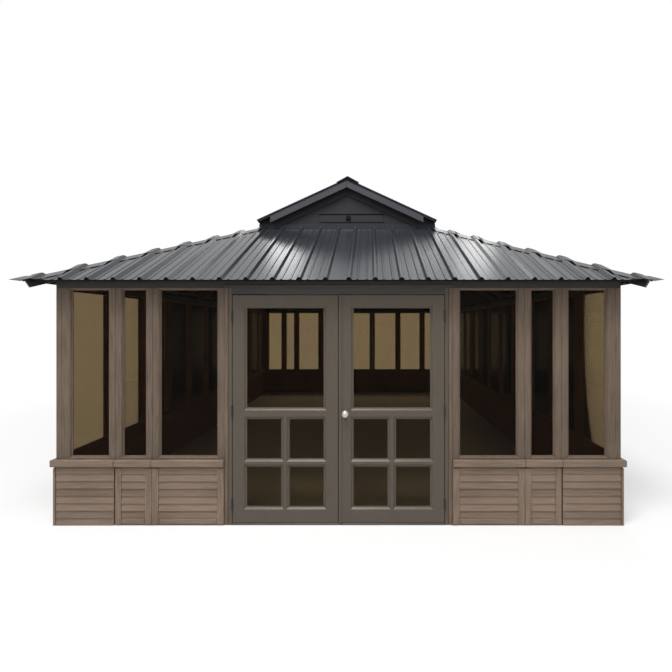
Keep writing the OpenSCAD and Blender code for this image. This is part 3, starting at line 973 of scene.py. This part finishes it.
def satin_nickel():
    material, tree, surface, place = new_material("satin_nickel")
    brushed = streaks(tree, place, (300, 300, 300), 2.0)
    wire(tree, surface, Roughness=between(tree, brushed, 0.28, 0.4), Metallic=1.0,
         Base_Color=blend_colours(tree, brushed, (0.50, 0.46, 0.40, 1), (0.66, 0.61, 0.54, 1)))
    return material


nickel = satin_nickel()
finish_node("door_knob", nickel)
knob_x, knob_z = 0.061, 1.003
rose_t = 0.005
roses = [turned_disc("rose", 0.030, rose_t, (knob_x, face + way * rose_t / 2, knob_z),
                     0.002, 2, 48)
         for face, way in ((leaf_y, -1), (leaf_y + leaf_t, 1))]
finish_piece(join("knob_roses", roses), "door_right", "knob_metal", nickel)
bpy.ops.object.select_all(action="DESELECT")
bpy.ops.mesh.primitive_cylinder_add(
    vertices=24, radius=0.007, depth=0.002, location=(knob_x, leaf_y - 0.001, knob_z - 0.052),
    rotation=(math.pi / 2, 0, 0))
finish_piece(start_piece("keyhole"), "door_right", "knob_metal", seal_rubber)

# ---- Studio ----
# A pale floor that turns white away from the walls, before a white background, with large
# soft lamps above, in front and behind, and two small ones whose gleam shows on the roof.


def seen_directly(tree):
    """1 for what the camera sees, straight or in glass and metal, and 0 for all other light."""
    rays = tree.nodes.new("ShaderNodeLightPath").outputs
    seen = maths(tree, "MAXIMUM", rays["Is Camera Ray"], rays["Is Glossy Ray"])
    return maths(tree, "MAXIMUM", seen, rays["Is Transmission Ray"])


bpy.ops.object.select_all(action="DESELECT")
bpy.ops.mesh.primitive_circle_add(vertices=96, radius=60, fill_type="NGON")
floor = bpy.context.object
floor.name = "floor"
floor_paint, tree, surface, place = new_material("floor_paint")
wire(tree, surface, Base_Color=(0.80, 0.80, 0.80, 1), Roughness=0.9, Specular_IOR_Level=0.1)
away = past_walls(tree, place)
beside = between(tree, away, 0.0, 0.45, 0.0, 0.05)
beyond = between(tree, away, 0.0, 0.55, 0.8, 5.0)
whiteness = maths(tree, "MULTIPLY", seen_directly(tree), maths(tree, "ADD", beside, beyond))
glow = node(tree, "ShaderNodeEmission", Strength=1.0)
wire(tree, tree.nodes["Material Output"], Surface=mix_shaders(tree, whiteness, surface, glow))
floor.data.materials.append(floor_paint)

world = bpy.context.scene.world or bpy.data.worlds.new("studio")
bpy.context.scene.world = world
world.use_nodes = True
tree = world.node_tree
tree.nodes.clear()
light = node(tree, "ShaderNodeBackground", Color=(1, 1, 1, 1), Strength=0.5)
white = node(tree, "ShaderNodeBackground", Color=(1, 1, 1, 1), Strength=1.0)
node(tree, "ShaderNodeOutputWorld", Surface=mix_shaders(tree, seen_directly(tree), light, white))


def soft_lamp(name, place, aim, size, power):
    """A round lamp of the given size that shines on a point."""
    bpy.ops.object.light_add(type="AREA", location=place)
    lamp = bpy.context.object
    lamp.name = name
    lamp.data.shape = "DISK"
    lamp.data.size = size
    lamp.data.energy = power
    lamp.rotation_euler = (Vector(aim) - Vector(place)).to_track_quat("-Z", "Y").to_euler()


soft_lamp("overhead", (-1.0, -7.4, 10.5), (0, -4, 1), 4, 1000)
soft_lamp("front_left", (-7, -12, 10), (0, -3, 1), 6, 275)
soft_lamp("front_right", (8, -12, 10), (0, -3, 1), 6, 225)
soft_lamp("rear", (2, 12, 10), (0, 2, 1), 7, 700)
soft_lamp("roof_left", (-2.1, 2.5, 8), (-0.8, -3, 2.5), 1.1, 15)
soft_lamp("roof_right", (3.3, 2.5, 8), (1.4, -3, 2.5), 1.1, 13)

bpy.context.scene.view_settings.view_transform = "Standard"
